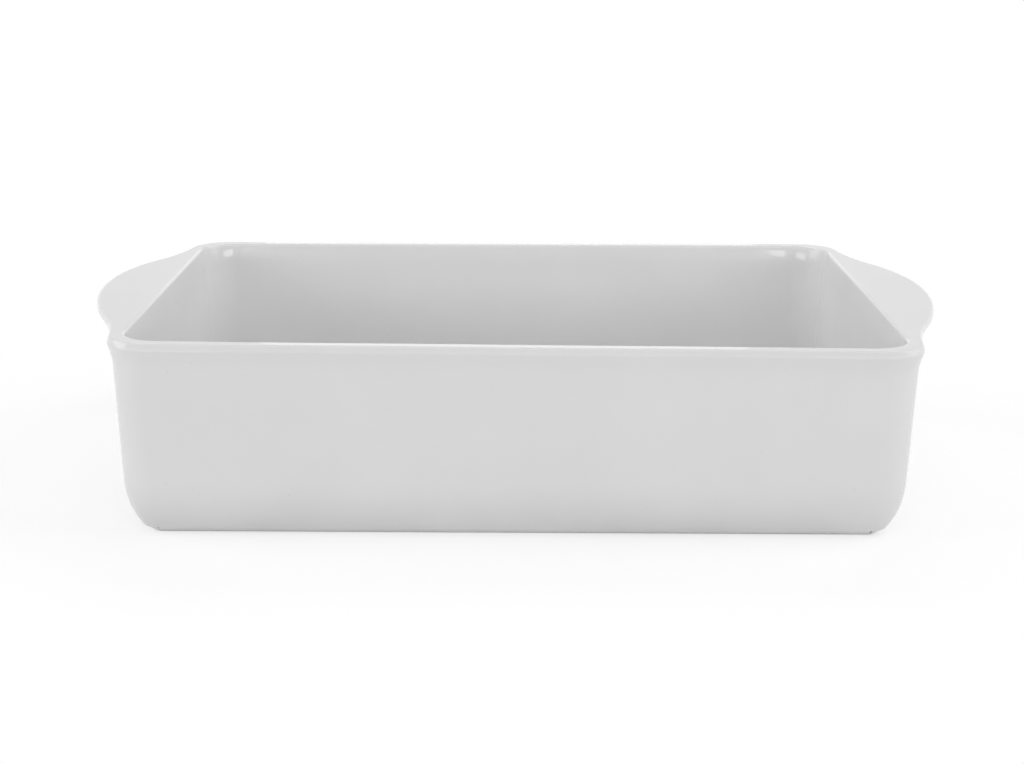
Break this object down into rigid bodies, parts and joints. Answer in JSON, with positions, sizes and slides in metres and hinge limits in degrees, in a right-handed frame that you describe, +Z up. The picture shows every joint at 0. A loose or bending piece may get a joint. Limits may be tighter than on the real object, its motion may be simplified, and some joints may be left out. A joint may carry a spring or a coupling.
{
  "type": "lasagna dish",
  "caption": "Deep rectangular oven dish in white glazed porcelain with a rolled lip, an ear handle at each short end and a low foot ring.",
  "frame": {"origin": "middle of the face that the foot ring stands on", "axes": "+X along the dish, towards the right ear; +Y across it, towards the back; +Z up"},
  "size_m": [0.3852, 0.2308, 0.0868],
  "materials": {
    "glaze": "clear glossy glaze over white porcelain",
    "bare_porcelain": "unglazed porcelain, ground smooth and matt"
  },
  "bodies": {
    "root": {"basin": "glaze", "rim": "glaze", "left_handle": "glaze", "right_handle": "glaze", "foot_ring": "bare_porcelain"}
  },
  "joints": []
}
